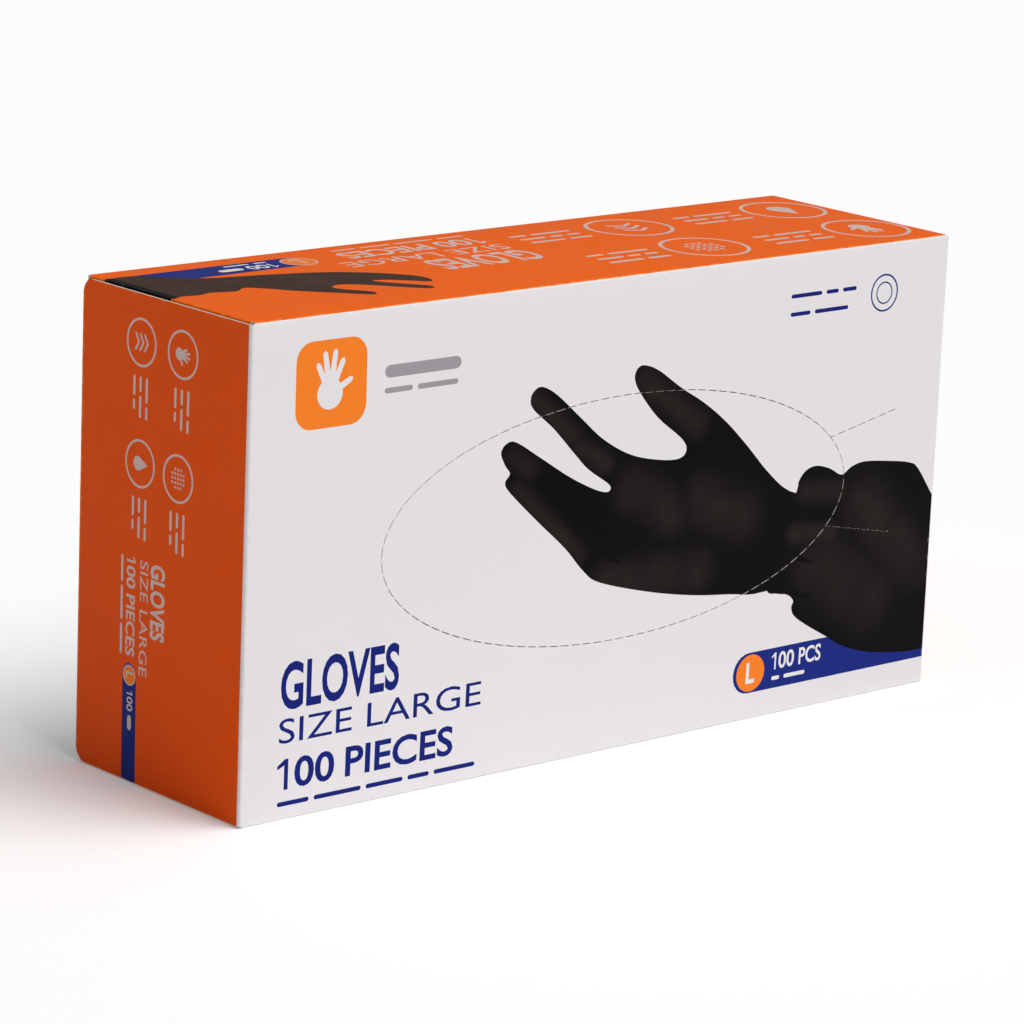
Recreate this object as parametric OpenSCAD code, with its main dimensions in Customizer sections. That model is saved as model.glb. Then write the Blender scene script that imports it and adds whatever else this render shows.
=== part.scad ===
// Folding carton of disposable gloves, with a perforated oval to tear out of its front.
// Origin: middle of the bottom face. +X runs along the length, -Y is the front, +Z is up.

/* [Carton] */
// Outside length of the carton, from end to end
carton_l = 240; // [236:1:264]
// Outside depth of the carton, from front to back
carton_d = 69; // [67:1:80]
// Outside height of the carton as it stands
carton_h = 127; // [126:1:145]
// Thickness of the board
board_t = 0.5; // [0.35:0.05:0.6]
// Free space between two layers of board that move past each other
layer_gap = 0.2; // [0.15:0.05:0.3]

/* [Dispensing window] */
// Half length of the perforated oval
oval_a = 80.8; // [70:0.1:88]
// Half height of the perforated oval
oval_b = 32.7; // [25:0.1:40]
// Distance of the oval's centre from the carton's middle, along its length
oval_x = 3; // [0:0.5:5]
// Height of the oval's centre above the bottom face
oval_z = 63; // [58:0.5:66]
// Width of the cut between the oval and the front panel
kerf = 0.2; // [0.1:0.05:0.3]
// Distance of the thumb tab's fold from the carton's middle
tab_fold_x = 102; // [100:0.5:106]
// Height of the thumb tab at its fold
tab_fold_h = 35; // [30:0.5:40]
// Height of the thumb tab where it meets the oval
tab_tip_h = 24.6; // [20:0.1:28]
// Free space at the thumb tab's fold and along its two tear lines
tab_gap = 0.3; // [0.25:0.05:0.4]

/* [End flaps] */
// Length of the dust flaps, down from the top panel and up from the bottom panel
dust_len = 32; // [20:1:40]
// Angle at which a dust flap's sides draw in
dust_taper = 32; // [29:1:35]
// Part of the carton's depth that an inner flap covers
inner_share = 0.45; // [0.35:0.01:0.48]
// Corner radius of the end flaps
flap_r = 4; // [2:0.5:6]
// Width of the seam flap glued behind the back panel
seam_w = 14; // [10:1:18]
// Thickness of a line of glue
glue_t = 0.1; // [0.05:0.01:0.12]

/* [Gloves] */
// Number of stacks of gloves
stacks = 10; // [10:1:10]
// Number of gloves in a stack
per_stack = 10; // [8:1:10]
// Distance from one glove to the next
glove_pitch = 0.6; // [0.5:0.05:0.6]
// Thickness of a flat glove, which is two walls of film
glove_t = 0.18; // [0.16:0.02:0.26]
// Length of a flat glove, from cuff to middle fingertip
glove_len = 232; // [225:1:232]
// Width of the palm
palm_w = 98; // [90:1:100]

/* [Hidden] */

half_l = carton_l / 2;
half_d = carton_d / 2;
layer = board_t + layer_gap;         // one layer of board with the space behind it
flap_inset = 0.5;                    // end flaps stop short of the top and bottom faces
dust_shoulder = 1;                   // dust flaps start this far inside the carton's corners
seam_inset = 4;                      // the seam flap stops short of both ends
seam_slope = 6;                      // and its corners are cut off over this length
oval_points = 144;
white_print = "#f0ecec";
orange_print = "#e8641f";
bare_board = "#c9c4b8";
glove_black = "#1c1c1e";

// Stack of gloves: its back leans on the seam flap, its front faces the window
stack_back = half_d - 2 * board_t - glue_t - 0.15;
finger_r = 11.6;
cuff_w = palm_w - 6;
thumb_side = 12.2;                   // the thumb's side is wider, so the glove lies this far over

function ellipse_points(a, b) =
    [for (i = [0 : oval_points - 1]) let (t = 360 * i / oval_points) [a * cos(t), b * sin(t)]];

// A flat plate of board in the plane of the front: drawn in X and Z, from y to y + board_t
module upright_plate(y) {
    translate([0, y + board_t, 0]) rotate([90, 0, 0]) linear_extrude(board_t) children();
}

module oval_shape(grow) {
    translate([oval_x, oval_z]) polygon(ellipse_points(oval_a + grow, oval_b + grow));
}

// The thumb tab widens from the oval to its fold. The grow value sets its cut edges.
module tab_outline(grow) {
    tip_x = oval_x + oval_a * 0.9;
    fold = tab_fold_x + grow;
    // The two tear lines start where the oval crosses them
    tip = tab_tip_h / 2 + grow;
    wide = tab_fold_h / 2 + grow;
    difference() {
        translate([0, oval_z])
            polygon([[tip_x, -tip], [fold, -wide], [fold, wide], [tip_x, tip]]);
        oval_shape(kerf / 2);
    }
}

// ---- Carton tube ----

module front_panel() {
    color(white_print) upright_plate(-half_d) difference() {
        translate([-half_l, 0]) square([carton_l, carton_h]);
        oval_shape(kerf / 2);
        tab_outline(0);
    }
}

module back_panel() {
    back_l = carton_l - 2 * layer;
    color(white_print) upright_plate(half_d - board_t)
        translate([-back_l / 2, 0]) square([back_l, carton_h]);
}

// The top and bottom panels stop short of the ends, under the three layers of flaps
module level_panel(z) {
    panel_l = carton_l - 4 * layer;
    panel_d = carton_d - 2 * board_t;
    translate([-panel_l / 2, -panel_d / 2, z]) cube([panel_l, panel_d, board_t]);
}

module top_panel() {
    color(orange_print) level_panel(carton_h - board_t);
}

module bottom_panel() {
    color(orange_print) level_panel(0);
}

// The maker's seam: a flap of the bottom panel, glued to the inside of the back panel
module seam_flap() {
    end_x = half_l - seam_inset;
    color(bare_board) upright_plate(half_d - 2 * board_t - glue_t)
        polygon([[-end_x, board_t], [end_x, board_t],
                 [end_x - seam_slope, board_t + seam_w],
                 [-end_x + seam_slope, board_t + seam_w]]);
}

module seam_glue() {
    glue_l = carton_l - 2 * (seam_inset + seam_slope) - 10;
    glue_w = seam_w - 6;
    color("ivory")
        translate([-glue_l / 2, half_d - board_t - glue_t, board_t + 3])
            cube([glue_l, glue_t, glue_w]);
}

// ---- Dispensing window ----

module tear_out_panel() {
    color(white_print) upright_plate(-half_d) oval_shape(-kerf / 2);
}

module thumb_tab() {
    color(white_print) upright_plate(-half_d) tab_outline(-tab_gap);
}

// ---- End flaps, drawn for the left end and mirrored for the right ----

// A plate in the plane of the end, with its two corners rounded at the far side.
// It runs in Y from y0 to y1, and its outer face is at depth x inside the left end.
module end_plate(x, y0, y1) {
    low = flap_inset;
    high = carton_h - flap_inset;
    far = y1 > y0 ? 1 : -1;
    translate([-half_l + x, 0, 0]) rotate([90, 0, 90]) linear_extrude(board_t) union() {
        translate([min(y0, y1 - far * flap_r), low])
            square([abs(y1 - y0) - flap_r, high - low]);
        translate([min(y0, y1), low + flap_r])
            square([abs(y1 - y0), high - low - 2 * flap_r]);
        for (z = [low + flap_r, high - flap_r])
            translate([y1 - far * flap_r, z]) circle(r = flap_r, $fn = 48);
    }
}

// The outer flap folds on the front panel's edge and covers the whole end
module outer_flap() {
    end_plate(0, -half_d + layer, half_d);
}

// The inner flap folds on the back panel's edge and reaches nearly half-way across
module inner_flap() {
    end_plate(layer, half_d - layer, half_d - inner_share * carton_d);
}

// A dust flap folds on the top panel's edge, and its sides draw in so that it clears the others
module dust_flap() {
    wide = half_d - board_t - dust_shoulder;
    draw_in = (dust_len - layer) * tan(dust_taper);
    top = carton_h - layer;
    translate([-half_l + 2 * layer, 0, 0]) rotate([90, 0, 90]) linear_extrude(board_t)
        polygon([[-wide, top], [-wide + draw_in, carton_h - dust_len],
                 [wide - draw_in, carton_h - dust_len], [wide, top]]);
}

module bottom_dust_flap() {
    translate([0, 0, carton_h]) mirror([0, 0, 1]) dust_flap();
}

// Two stripes of hot-melt glue on the inner flap's outer face
module end_glue() {
    stripe_w = 6;
    near = half_d - inner_share * carton_d + 5;
    for (y = [near, near + 13])
        translate([-half_l + layer - glue_t, y, 18]) cube([glue_t, stripe_w, carton_h - 36]);
}

module left_outer_flap() { color(orange_print) outer_flap(); }
module left_inner_flap() { color(white_print) inner_flap(); }
module left_top_dust_flap() { color(orange_print) dust_flap(); }
module left_bottom_dust_flap() { color(orange_print) bottom_dust_flap(); }
module left_end_glue() { color("ivory") end_glue(); }

module right_outer_flap() { color(orange_print) mirror([1, 0, 0]) outer_flap(); }
module right_inner_flap() { color(white_print) mirror([1, 0, 0]) inner_flap(); }
module right_top_dust_flap() { color(orange_print) mirror([1, 0, 0]) dust_flap(); }
module right_bottom_dust_flap() { color(orange_print) mirror([1, 0, 0]) bottom_dust_flap(); }
module right_end_glue() { color("ivory") mirror([1, 0, 0]) end_glue(); }

// ---- Gloves ----

// A finger starts at a point, runs at an angle to the glove's length, and ends in a half circle
module finger(start, angle, reach, r) {
    translate(start) rotate(angle) {
        translate([0, -r]) square([reach - r, 2 * r]);
        translate([reach - r, 0]) circle(r = r, $fn = 48);
    }
}

// A flat glove in X and Y: the cuff's edge is at x = 0, the fingers point along +X
module glove_outline() {
    palm_start = 78;
    palm_end = 142;
    knuckle = palm_end - 14;
    translate([0, -cuff_w / 2]) square([palm_start + 8, cuff_w]);
    translate([palm_start, -palm_w / 2]) square([palm_end - palm_start - 8, palm_w]);
    // Fingers from the index to the little one: place across the palm, angle and length
    finger([knuckle, 36], 1, 86, finger_r);
    finger([knuckle, 12], 0, glove_len - knuckle, finger_r);
    finger([knuckle, -12], 0, 92, finger_r);
    finger([knuckle, -36], -1, 70, finger_r);
    // The thumb lies close beside the palm
    finger([78, 42], 17, 76, 13);
}

// Every other glove lies the other way round, so that the stack stays level
module glove(index) {
    y = stack_back - (index + 0.5) * glove_pitch;
    turned = index % 2 == 1 ? 180 : 0;
    translate([0, y, carton_h / 2]) rotate([0, turned, 0])
        translate([-glove_len / 2, glove_t / 2, -thumb_side]) rotate([90, 0, 0])
            linear_extrude(glove_t) glove_outline();
}

// Stack 1 is behind the window and stack 10 lies against the back panel
module gloves(stack) {
    first = (stacks - stack) * per_stack;
    color(glove_black) for (i = [0 : per_stack - 1]) glove(first + i);
}

module gloves_01() { gloves(1); }
module gloves_02() { gloves(2); }
module gloves_03() { gloves(3); }
module gloves_04() { gloves(4); }
module gloves_05() { gloves(5); }
module gloves_06() { gloves(6); }
module gloves_07() { gloves(7); }
module gloves_08() { gloves(8); }
module gloves_09() { gloves(9); }
module gloves_10() { gloves(10); }

front_panel();
top_panel();
back_panel();
bottom_panel();
seam_flap();
seam_glue();
tear_out_panel();
thumb_tab();
left_outer_flap();
left_inner_flap();
left_top_dust_flap();
left_bottom_dust_flap();
left_end_glue();
right_outer_flap();
right_inner_flap();
right_top_dust_flap();
right_bottom_dust_flap();
right_end_glue();
gloves_01();
gloves_02();
gloves_03();
gloves_04();
gloves_05();
gloves_06();
gloves_07();
gloves_08();
gloves_09();
gloves_10();
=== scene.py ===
from math import cos, pi, radians, sin, tan, tau

import bmesh
import bpy
from mathutils import Matrix, Vector, kdtree, noise
from mathutils.geometry import delaunay_2d_cdt, interpolate_bezier


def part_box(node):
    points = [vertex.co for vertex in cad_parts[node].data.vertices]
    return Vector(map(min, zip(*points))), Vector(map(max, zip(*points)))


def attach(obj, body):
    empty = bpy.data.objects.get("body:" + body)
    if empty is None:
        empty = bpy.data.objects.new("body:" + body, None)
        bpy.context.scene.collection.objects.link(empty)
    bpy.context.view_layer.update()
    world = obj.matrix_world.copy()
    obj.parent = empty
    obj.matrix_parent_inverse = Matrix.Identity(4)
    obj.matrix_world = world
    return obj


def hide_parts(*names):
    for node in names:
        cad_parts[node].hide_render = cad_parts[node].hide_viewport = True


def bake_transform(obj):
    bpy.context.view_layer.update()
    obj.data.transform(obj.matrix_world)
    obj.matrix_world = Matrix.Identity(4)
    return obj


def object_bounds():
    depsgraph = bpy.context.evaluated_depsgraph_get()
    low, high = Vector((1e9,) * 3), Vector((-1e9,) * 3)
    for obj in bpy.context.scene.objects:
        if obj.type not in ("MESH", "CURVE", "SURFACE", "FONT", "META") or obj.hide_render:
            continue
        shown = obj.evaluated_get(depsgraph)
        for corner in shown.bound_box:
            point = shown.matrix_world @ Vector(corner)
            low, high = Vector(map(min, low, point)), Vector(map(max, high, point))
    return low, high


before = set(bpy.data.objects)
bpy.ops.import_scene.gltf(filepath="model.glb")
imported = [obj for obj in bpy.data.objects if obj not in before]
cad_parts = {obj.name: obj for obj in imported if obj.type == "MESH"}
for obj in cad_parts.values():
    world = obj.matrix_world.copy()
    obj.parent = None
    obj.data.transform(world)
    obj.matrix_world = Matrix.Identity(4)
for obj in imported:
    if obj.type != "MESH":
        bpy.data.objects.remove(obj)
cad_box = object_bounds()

scene = bpy.context.scene
MM = 0.001


# ---- Studio -------------------------------------------------------------------------------
# The carton stands on a plain pale floor in soft light from the front right. The camera stands
# to the left of its front and looks slightly down, through a long lens.

camera_data = bpy.data.cameras.new("camera")
camera_data.sensor_width = 36
camera_data.lens = 160.45
camera = bpy.data.objects.new("camera", camera_data)
scene.collection.objects.link(camera)
camera_place = Vector((-0.7782, -0.8805, 0.3481))
camera_right = Vector((0.757057, -0.652156, 0.039454))
camera_look = Vector((0.640696, 0.729216, -0.240318))
camera_up = camera_right.cross(camera_look)
turn = Matrix((camera_right, camera_up, -camera_look)).transposed()
camera.matrix_world = Matrix.Translation(camera_place) @ turn.to_4x4()
scene.camera = camera


def new_finish(name, **values):
    """A material with the given shader values. Returns it, its node tree and its shader."""
    finish = bpy.data.materials.new(name)
    finish.use_nodes = True
    shader = finish.node_tree.nodes["Principled BSDF"]
    for label, value in values.items():
        shader.inputs[label.replace("_", " ")].default_value = value
    return finish, finish.node_tree, shader


def new_piece(name, bm, *finishes):
    """Turn a bmesh into an object of the scene, with its materials."""
    mesh = bpy.data.meshes.new(name)
    bm.to_mesh(mesh)
    bm.free()
    for finish in finishes:
        mesh.materials.append(finish)
    piece = bpy.data.objects.new(name, mesh)
    scene.collection.objects.link(piece)
    return piece


floor_paint, _, _ = new_finish(
    "floor_paint", Base_Color=(0.95, 0.95, 0.95, 1), Roughness=0.7, Specular_IOR_Level=0.0,
    Emission_Color=(1, 1, 1, 1), Emission_Strength=0.14)
bm = bmesh.new()
bmesh.ops.create_grid(bm, x_segments=2, y_segments=2, size=12)
new_piece("floor", bm, floor_paint)

lamp_data = bpy.data.lights.new("soft_key", "SUN")
lamp_data.energy = 2.3
lamp_data.angle = radians(50)
lamp = bpy.data.objects.new("soft_key", lamp_data)
lamp.rotation_euler = Vector((0.4, -0.6, 1.3)).to_track_quat("Z", "Y").to_euler()
scene.collection.objects.link(lamp)

# The room is pale in front and on the right, and dim behind the carton and on its left.
world = bpy.data.worlds.new("studio")
world.use_nodes = True
tree = world.node_tree
way = tree.nodes.new("ShaderNodeTexCoord").outputs["Generated"]
toward = tree.nodes.new("ShaderNodeVectorMath")
toward.operation = "DOT_PRODUCT"
toward.inputs[1].default_value = (0.72, -0.62, 0.3)
tree.links.new(way, toward.inputs[0])
room = tree.nodes.new("ShaderNodeMapRange")
tree.links.new(toward.outputs["Value"], room.inputs["Value"])
for label, value in (("From Min", -0.7), ("From Max", 0.6), ("To Min", 0.02), ("To Max", 0.35)):
    room.inputs[label].default_value = value
tree.links.new(room.outputs["Result"], tree.nodes["Background"].inputs["Strength"])
tree.nodes["Background"].inputs["Color"].default_value = (1, 1, 1, 1)
scene.world = world
scene.view_settings.view_transform = "Standard"


# ---- Board and inks -----------------------------------------------------------------------
# Folding boxboard about half a millimetre thick. Its outside is clay-coated and printed with
# offset inks under a thin varnish. Its inside and its cut edges are bare grey-white fibre.

wall = 0.5 * MM
front_low, front_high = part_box("front_panel")
length = front_high.x - front_low.x
height = front_high.z - front_low.z
depth = cad_box[1][1] - cad_box[0][1]
half_l, half_d, half_h = length / 2, depth / 2, height / 2
crease_r = 0.7 * MM


def ink(red, green, blue):
    """A screen colour as the linear colour that shaders want."""
    return tuple((c / 255 / 12.92) if c <= 10 else ((c / 255 + 0.055) / 1.055) ** 2.4
                 for c in (red, green, blue)) + (1,)


def new_group(name, inputs, outputs):
    """An empty shader node group with named sockets; an input is (name, kind, value)."""
    group = bpy.data.node_groups.new(name, "ShaderNodeTree")
    for label, kind, value in inputs:
        socket = group.interface.new_socket(label, in_out="INPUT", socket_type=kind)
        socket.default_value = value
    for label, kind in outputs:
        group.interface.new_socket(label, in_out="OUTPUT", socket_type=kind)
    return group, group.nodes.new("NodeGroupInput"), group.nodes.new("NodeGroupOutput")


def maths(tree, operation, first, second=None, clamp=False):
    """A Math node whose inputs are sockets or numbers. Returns its output."""
    node = tree.nodes.new("ShaderNodeMath")
    node.operation = operation
    node.use_clamp = clamp
    for socket, value in zip(node.inputs, (first, second)):
        if isinstance(value, bpy.types.NodeSocket):
            tree.links.new(value, socket)
        elif value is not None:
            socket.default_value = value
    return node.outputs[0]


def blotches(tree, coordinates, scale, detail=2, roughness=0.5):
    """A Noise node on the given coordinates. Returns its grey output."""
    node = tree.nodes.new("ShaderNodeTexNoise")
    tree.links.new(coordinates, node.inputs["Vector"])
    node.inputs["Scale"].default_value = scale
    node.inputs["Detail"].default_value = detail
    node.inputs["Roughness"].default_value = roughness
    return node.outputs["Fac"]


def between(tree, value, low, high, out_low=0, out_high=1):
    """A smooth Map Range node. Returns its result."""
    node = tree.nodes.new("ShaderNodeMapRange")
    node.interpolation_type = "SMOOTHSTEP"
    tree.links.new(value, node.inputs["Value"])
    for label, number in (("From Min", low), ("From Max", high),
                          ("To Min", out_low), ("To Max", out_high)):
        node.inputs[label].default_value = number
    return node.outputs["Result"]


def blend_colours(tree, factor, first, second):
    """A colour Mix node whose colours are sockets or values. Returns its result."""
    node = tree.nodes.new("ShaderNodeMix")
    node.data_type = "RGBA"
    tree.links.new(factor, node.inputs["Factor"])
    for socket, value in ((node.inputs[6], first), (node.inputs[7], second)):
        if isinstance(value, bpy.types.NodeSocket):
            tree.links.new(value, socket)
        else:
            socket.default_value = value
    return node.outputs[2]


def add_bump(tree, shader, height, strength, distance):
    """A Bump node between a height and the shader's Normal."""
    bump = tree.nodes.new("ShaderNodeBump")
    bump.inputs["Strength"].default_value = strength
    bump.inputs["Distance"].default_value = distance
    tree.links.new(height, bump.inputs["Height"])
    tree.links.new(bump.outputs["Normal"], shader.inputs["Normal"])


# Wear and painted highlight on the carton's edges: the mask is 1 along a fold and fades within
# a millimetre, broken up by noise. It colours both rubbed board and a painted highlight on the
# folds' rounding. The second smallest distance to the carton's three pairs of faces is the
# distance to the nearest edge.
edge_wear, wear_and_highlight_in, wear_and_highlight_out = new_group(
    "edge_wear",
    [("Width", "NodeSocketFloat", 1.0 * MM), ("Strength", "NodeSocketFloat", 1.0)],
    [("Mask", "NodeSocketFloat")])
spot = edge_wear.nodes.new("ShaderNodeTexCoord").outputs["Object"]
split = edge_wear.nodes.new("ShaderNodeSeparateXYZ")
edge_wear.links.new(spot, split.inputs[0])
raised = maths(edge_wear, "SUBTRACT", split.outputs["Z"], half_h)
gaps = [maths(edge_wear, "SUBTRACT", half, maths(edge_wear, "ABSOLUTE", place))
        for half, place in ((half_l, split.outputs["X"]), (half_d, split.outputs["Y"]),
                            (half_h, raised))]
nearer = maths(edge_wear, "MINIMUM", gaps[0], gaps[1])
further = maths(edge_wear, "MAXIMUM", gaps[0], gaps[1])
to_edge = maths(edge_wear, "MAXIMUM", nearer, maths(edge_wear, "MINIMUM", further, gaps[2]))
ragged = blotches(edge_wear, spot, 420, 4, 0.7)
reach = maths(edge_wear, "MULTIPLY", wear_and_highlight_in.outputs["Width"],
              between(edge_wear, ragged, 0.35, 0.75, 0.25, 1.6))
fold_mask = maths(edge_wear, "SUBTRACT", 1, maths(edge_wear, "DIVIDE", to_edge, reach), clamp=True)
edge_wear.links.new(maths(edge_wear, "MULTIPLY", fold_mask, wear_and_highlight_in.outputs["Strength"], clamp=True),
                    wear_and_highlight_out.inputs["Mask"])

# Printed board: faint mottle in the ink, the coating's slight waviness, and a colour along the
# folds: pale board where they have rubbed through, and a lighter tint of the white and orange
# inks that is a painted highlight on the folds' rounding.
printed_board, print_in, print_out = new_group(
    "printed_board",
    [("Ink", "NodeSocketColor", (1, 1, 1, 1)), ("Rubbed", "NodeSocketColor", (1, 1, 1, 1)),
     ("Wear", "NodeSocketFloat", 0.5), ("Mottle", "NodeSocketFloat", 0.05),
     ("Gloss", "NodeSocketFloat", 0.4)],
    [("Color", "NodeSocketColor"), ("Roughness", "NodeSocketFloat"),
     ("Height", "NodeSocketFloat")])
spot = printed_board.nodes.new("ShaderNodeTexCoord").outputs["Object"]
cloudy = maths(printed_board, "SUBTRACT", blotches(printed_board, spot, 45, 3), 0.5)
grainy = maths(printed_board, "SUBTRACT", blotches(printed_board, spot, 1400, 2), 0.5)
mottled = maths(printed_board, "MULTIPLY", print_in.outputs["Mottle"],
                maths(printed_board, "ADD", cloudy, grainy))
tint = printed_board.nodes.new("ShaderNodeHueSaturation")
printed_board.links.new(print_in.outputs["Ink"], tint.inputs["Color"])
printed_board.links.new(maths(printed_board, "ADD", mottled, 1), tint.inputs["Value"])
wear_and_highlight = printed_board.nodes.new("ShaderNodeGroup")
wear_and_highlight.node_tree = edge_wear
printed_board.links.new(print_in.outputs["Wear"], wear_and_highlight.inputs["Strength"])
printed_board.links.new(
    blend_colours(printed_board, wear_and_highlight.outputs["Mask"], tint.outputs["Color"],
                  print_in.outputs["Rubbed"]),
    print_out.inputs["Color"])
streaky = between(printed_board, blotches(printed_board, spot, 90, 4), 0.3, 0.7, -0.05, 0.07)
rubbed_rough = maths(printed_board, "MULTIPLY", wear_and_highlight.outputs["Mask"], 0.3)
printed_board.links.new(
    maths(printed_board, "ADD", print_in.outputs["Gloss"],
          maths(printed_board, "ADD", streaky, rubbed_rough), clamp=True),
    print_out.inputs["Roughness"])
ripple = maths(printed_board, "MULTIPLY", blotches(printed_board, spot, 160, 2), 0.6)
fibre = maths(printed_board, "MULTIPLY", blotches(printed_board, spot, 1100, 3), 0.25)
printed_board.links.new(maths(printed_board, "ADD", ripple, fibre), print_out.inputs["Height"])


def print_finish(name, colour, gloss=0.38, wear_strength=0.5, mottle=0.05,
                 rubbed=ink(236, 226, 216)):
    """One ink, or bare coating, as a material that uses the printed board group."""
    finish, tree, shader = new_finish(name, Specular_IOR_Level=0.04)
    group = tree.nodes.new("ShaderNodeGroup")
    group.node_tree = printed_board
    for label, value in (("Ink", colour), ("Rubbed", rubbed), ("Wear", wear_strength),
                         ("Mottle", mottle), ("Gloss", gloss)):
        group.inputs[label].default_value = value
    tree.links.new(group.outputs["Color"], shader.inputs["Base Color"])
    tree.links.new(group.outputs["Roughness"], shader.inputs["Roughness"])
    add_bump(tree, shader, group.outputs["Height"], 0.12, 0.2 * MM)
    return finish


# Along the folds the white coating and the orange inks turn lighter than their own colour, a
# painted highlight on the folds' rounding. The other inks wear to pale board there.
inks = {
    "white": print_finish("white_coating", ink(231, 227, 229), wear_strength=0.35, mottle=0.02,
                          rubbed=ink(255, 250, 246)),
    "orange": print_finish("orange_print", ink(248, 104, 14), wear_strength=0.7,
                           rubbed=ink(255, 172, 96)),
    # The end flaps' orange is the top's orange ink made darker: painted shade on the ends, which
    # face away from the key light.
    "deep_orange": print_finish("deep_orange_print", ink(238, 84, 3), wear_strength=0.7,
                                rubbed=ink(250, 158, 84)),
    "black": print_finish("black_print", ink(9, 6, 7), gloss=0.36, wear_strength=0.15),
    "navy": print_finish("navy_print", ink(25, 42, 126), gloss=0.34),
    "text_navy": print_finish("deep_navy_print", ink(22, 34, 118), gloss=0.34),
    "bright_orange": print_finish("bright_orange_print", ink(248, 130, 40)),
    "grey": print_finish("grey_print", ink(158, 153, 158)),
    "silver": print_finish("silver_print", ink(216, 192, 186)),
    "brown": print_finish("brown_print", ink(66, 46, 38)),
}

# Bare board: matt, grey-white, with short fibres and a few darker flecks.
core_board, tree, shader = new_finish("bare_board", Roughness=0.85)
spot = tree.nodes.new("ShaderNodeTexCoord").outputs["Object"]
flecks = between(tree, blotches(tree, spot, 900, 4, 0.7), 0.56, 0.72)
clouds = blotches(tree, spot, 60, 4)
base = blend_colours(tree, clouds, ink(232, 227, 224), ink(216, 210, 206))
tree.links.new(blend_colours(tree, flecks, base, ink(176, 168, 160)),
               shader.inputs["Base Color"])
add_bump(tree, shader, blotches(tree, spot, 800, 4, 0.65), 0.35, 0.3 * MM)


def smooth_loop(points, steps=5):
    """A smooth closed outline through given points."""
    corners = [Vector((x, y, 0)) for x, y in points]
    count = len(corners)
    line = []
    for i in range(count):
        before, start, end, after = (corners[(i + k) % count] for k in (-1, 0, 1, 2))
        line += interpolate_bezier(start, start + (end - before) / 6, end - (after - start) / 6,
                                   end, steps + 1)[:-1]
    return [(p.x, p.y) for p in line]


def rectangle(left, low, right, high):
    """The outline of a rectangle."""
    return [(left, low), (right, low), (right, high), (left, high)]


def disc(x, y, radius, points=40):
    """A round outline."""
    return [(x + radius * cos(tau * i / points), y + radius * sin(tau * i / points))
            for i in range(points)]


def bar(x, y, width, thick, points=6):
    """A bar with round ends, from its left end at x, centred on the height y."""
    r = thick / 2
    left = [(x + r + r * cos(a), y + r * sin(a))
            for a in (pi / 2 + pi * i / points for i in range(points + 1))]
    right = [(x + width - r + r * cos(a), y + r * sin(a))
             for a in (-pi / 2 + pi * i / points for i in range(points + 1))]
    return left + right


def word_bars(x, y, thick, words, gap=1.6):
    """A line of small print stood in for by one round-ended bar for each word."""
    bars = []
    for width in words:
        bars.append(bar(x, y, width, thick))
        x += width + gap
    return bars


def lettering(words, left, bottom, width, tall, bold=0.0):
    """Generic lettering as a list of triangles that fill the given box."""
    data = bpy.data.curves.new("lettering", "FONT")
    data.body = words
    data.resolution_u = 4
    data.offset = bold
    holder = bpy.data.objects.new("lettering", data)
    scene.collection.objects.link(holder)
    bpy.context.view_layer.update()
    flat = holder.evaluated_get(bpy.context.evaluated_depsgraph_get()).to_mesh()
    flat.calc_loop_triangles()
    spots = [(v.co.x, v.co.y) for v in flat.vertices]
    low_x, high_x = min(p[0] for p in spots), max(p[0] for p in spots)
    low_y, high_y = min(p[1] for p in spots), max(p[1] for p in spots)
    fitted = [(left + (x - low_x) / (high_x - low_x) * width,
               bottom + (y - low_y) / (high_y - low_y) * tall) for x, y in spots]
    pieces = [[fitted[i] for i in t.vertices] for t in flat.loop_triangles]
    bpy.data.objects.remove(holder)
    return pieces


def moved(outlines, move):
    """The same outlines with every point passed through a function."""
    return [[move(x, y) for x, y in outline] for outline in outlines]


def turned_art(art, turn):
    """The same artwork with every outline passed through a function."""
    return [(colour, moved(loops, turn)) for colour, loops in art]


def cut_sheet(outline, art, cuts, lines):
    """Cut a flat sheet along its artwork and its die lines.

    art holds (ink, outlines) from the bottom print to the top one, cuts holds (name, outline),
    and lines are extra straight cuts that let the sheet bend. Returns the points, and for each
    face its corners, its ink and the names of the cuts that it lies in.
    """
    points, edges, faces, meaning = [], [], [], []

    def add(loop, label):
        """A loop has to run anticlockwise, or everything outside it would carry its label."""
        area = sum(a[0] * b[1] - b[0] * a[1] for a, b in zip(loop, loop[1:] + loop[:1]))
        if area < 0:
            loop = loop[::-1]
        start = len(points)
        points.extend(Vector(p) for p in loop)
        faces.append(list(range(start, len(points))))
        meaning.append(label)

    add(outline, None)
    for name, loop in cuts:
        add(loop, ("cut", name))
    for colour, loops in art:
        for loop in loops:
            add(loop, ("ink", colour))
    for a, b in lines:
        start = len(points)
        points.extend((Vector(a), Vector(b)))
        edges.append((start, start + 1))
    spots, _, pieces, _, _, origins = delaunay_2d_cdt(points, edges, faces, 1, 1e-7, True)
    sheet = []
    for corners, sources in zip(pieces, origins):
        if 0 not in sources:
            continue
        labels = [meaning[i] for i in sorted(sources)]
        printed = [label[1] for label in labels if label and label[0] == "ink"]
        cut = {label[1] for label in labels if label and label[0] == "cut"}
        sheet.append((corners, printed[-1] if printed else None, cut))
    return spots, sheet


def apply_modifiers(piece):
    """Turn a piece's modifiers into its final mesh."""
    bpy.context.view_layer.update()
    final = bpy.data.meshes.new_from_object(
        piece.evaluated_get(bpy.context.evaluated_depsgraph_get()))
    final.name = piece.data.name
    final.set_sharp_from_angle(angle=radians(35))
    piece.modifiers.clear()
    piece.data = final


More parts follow.
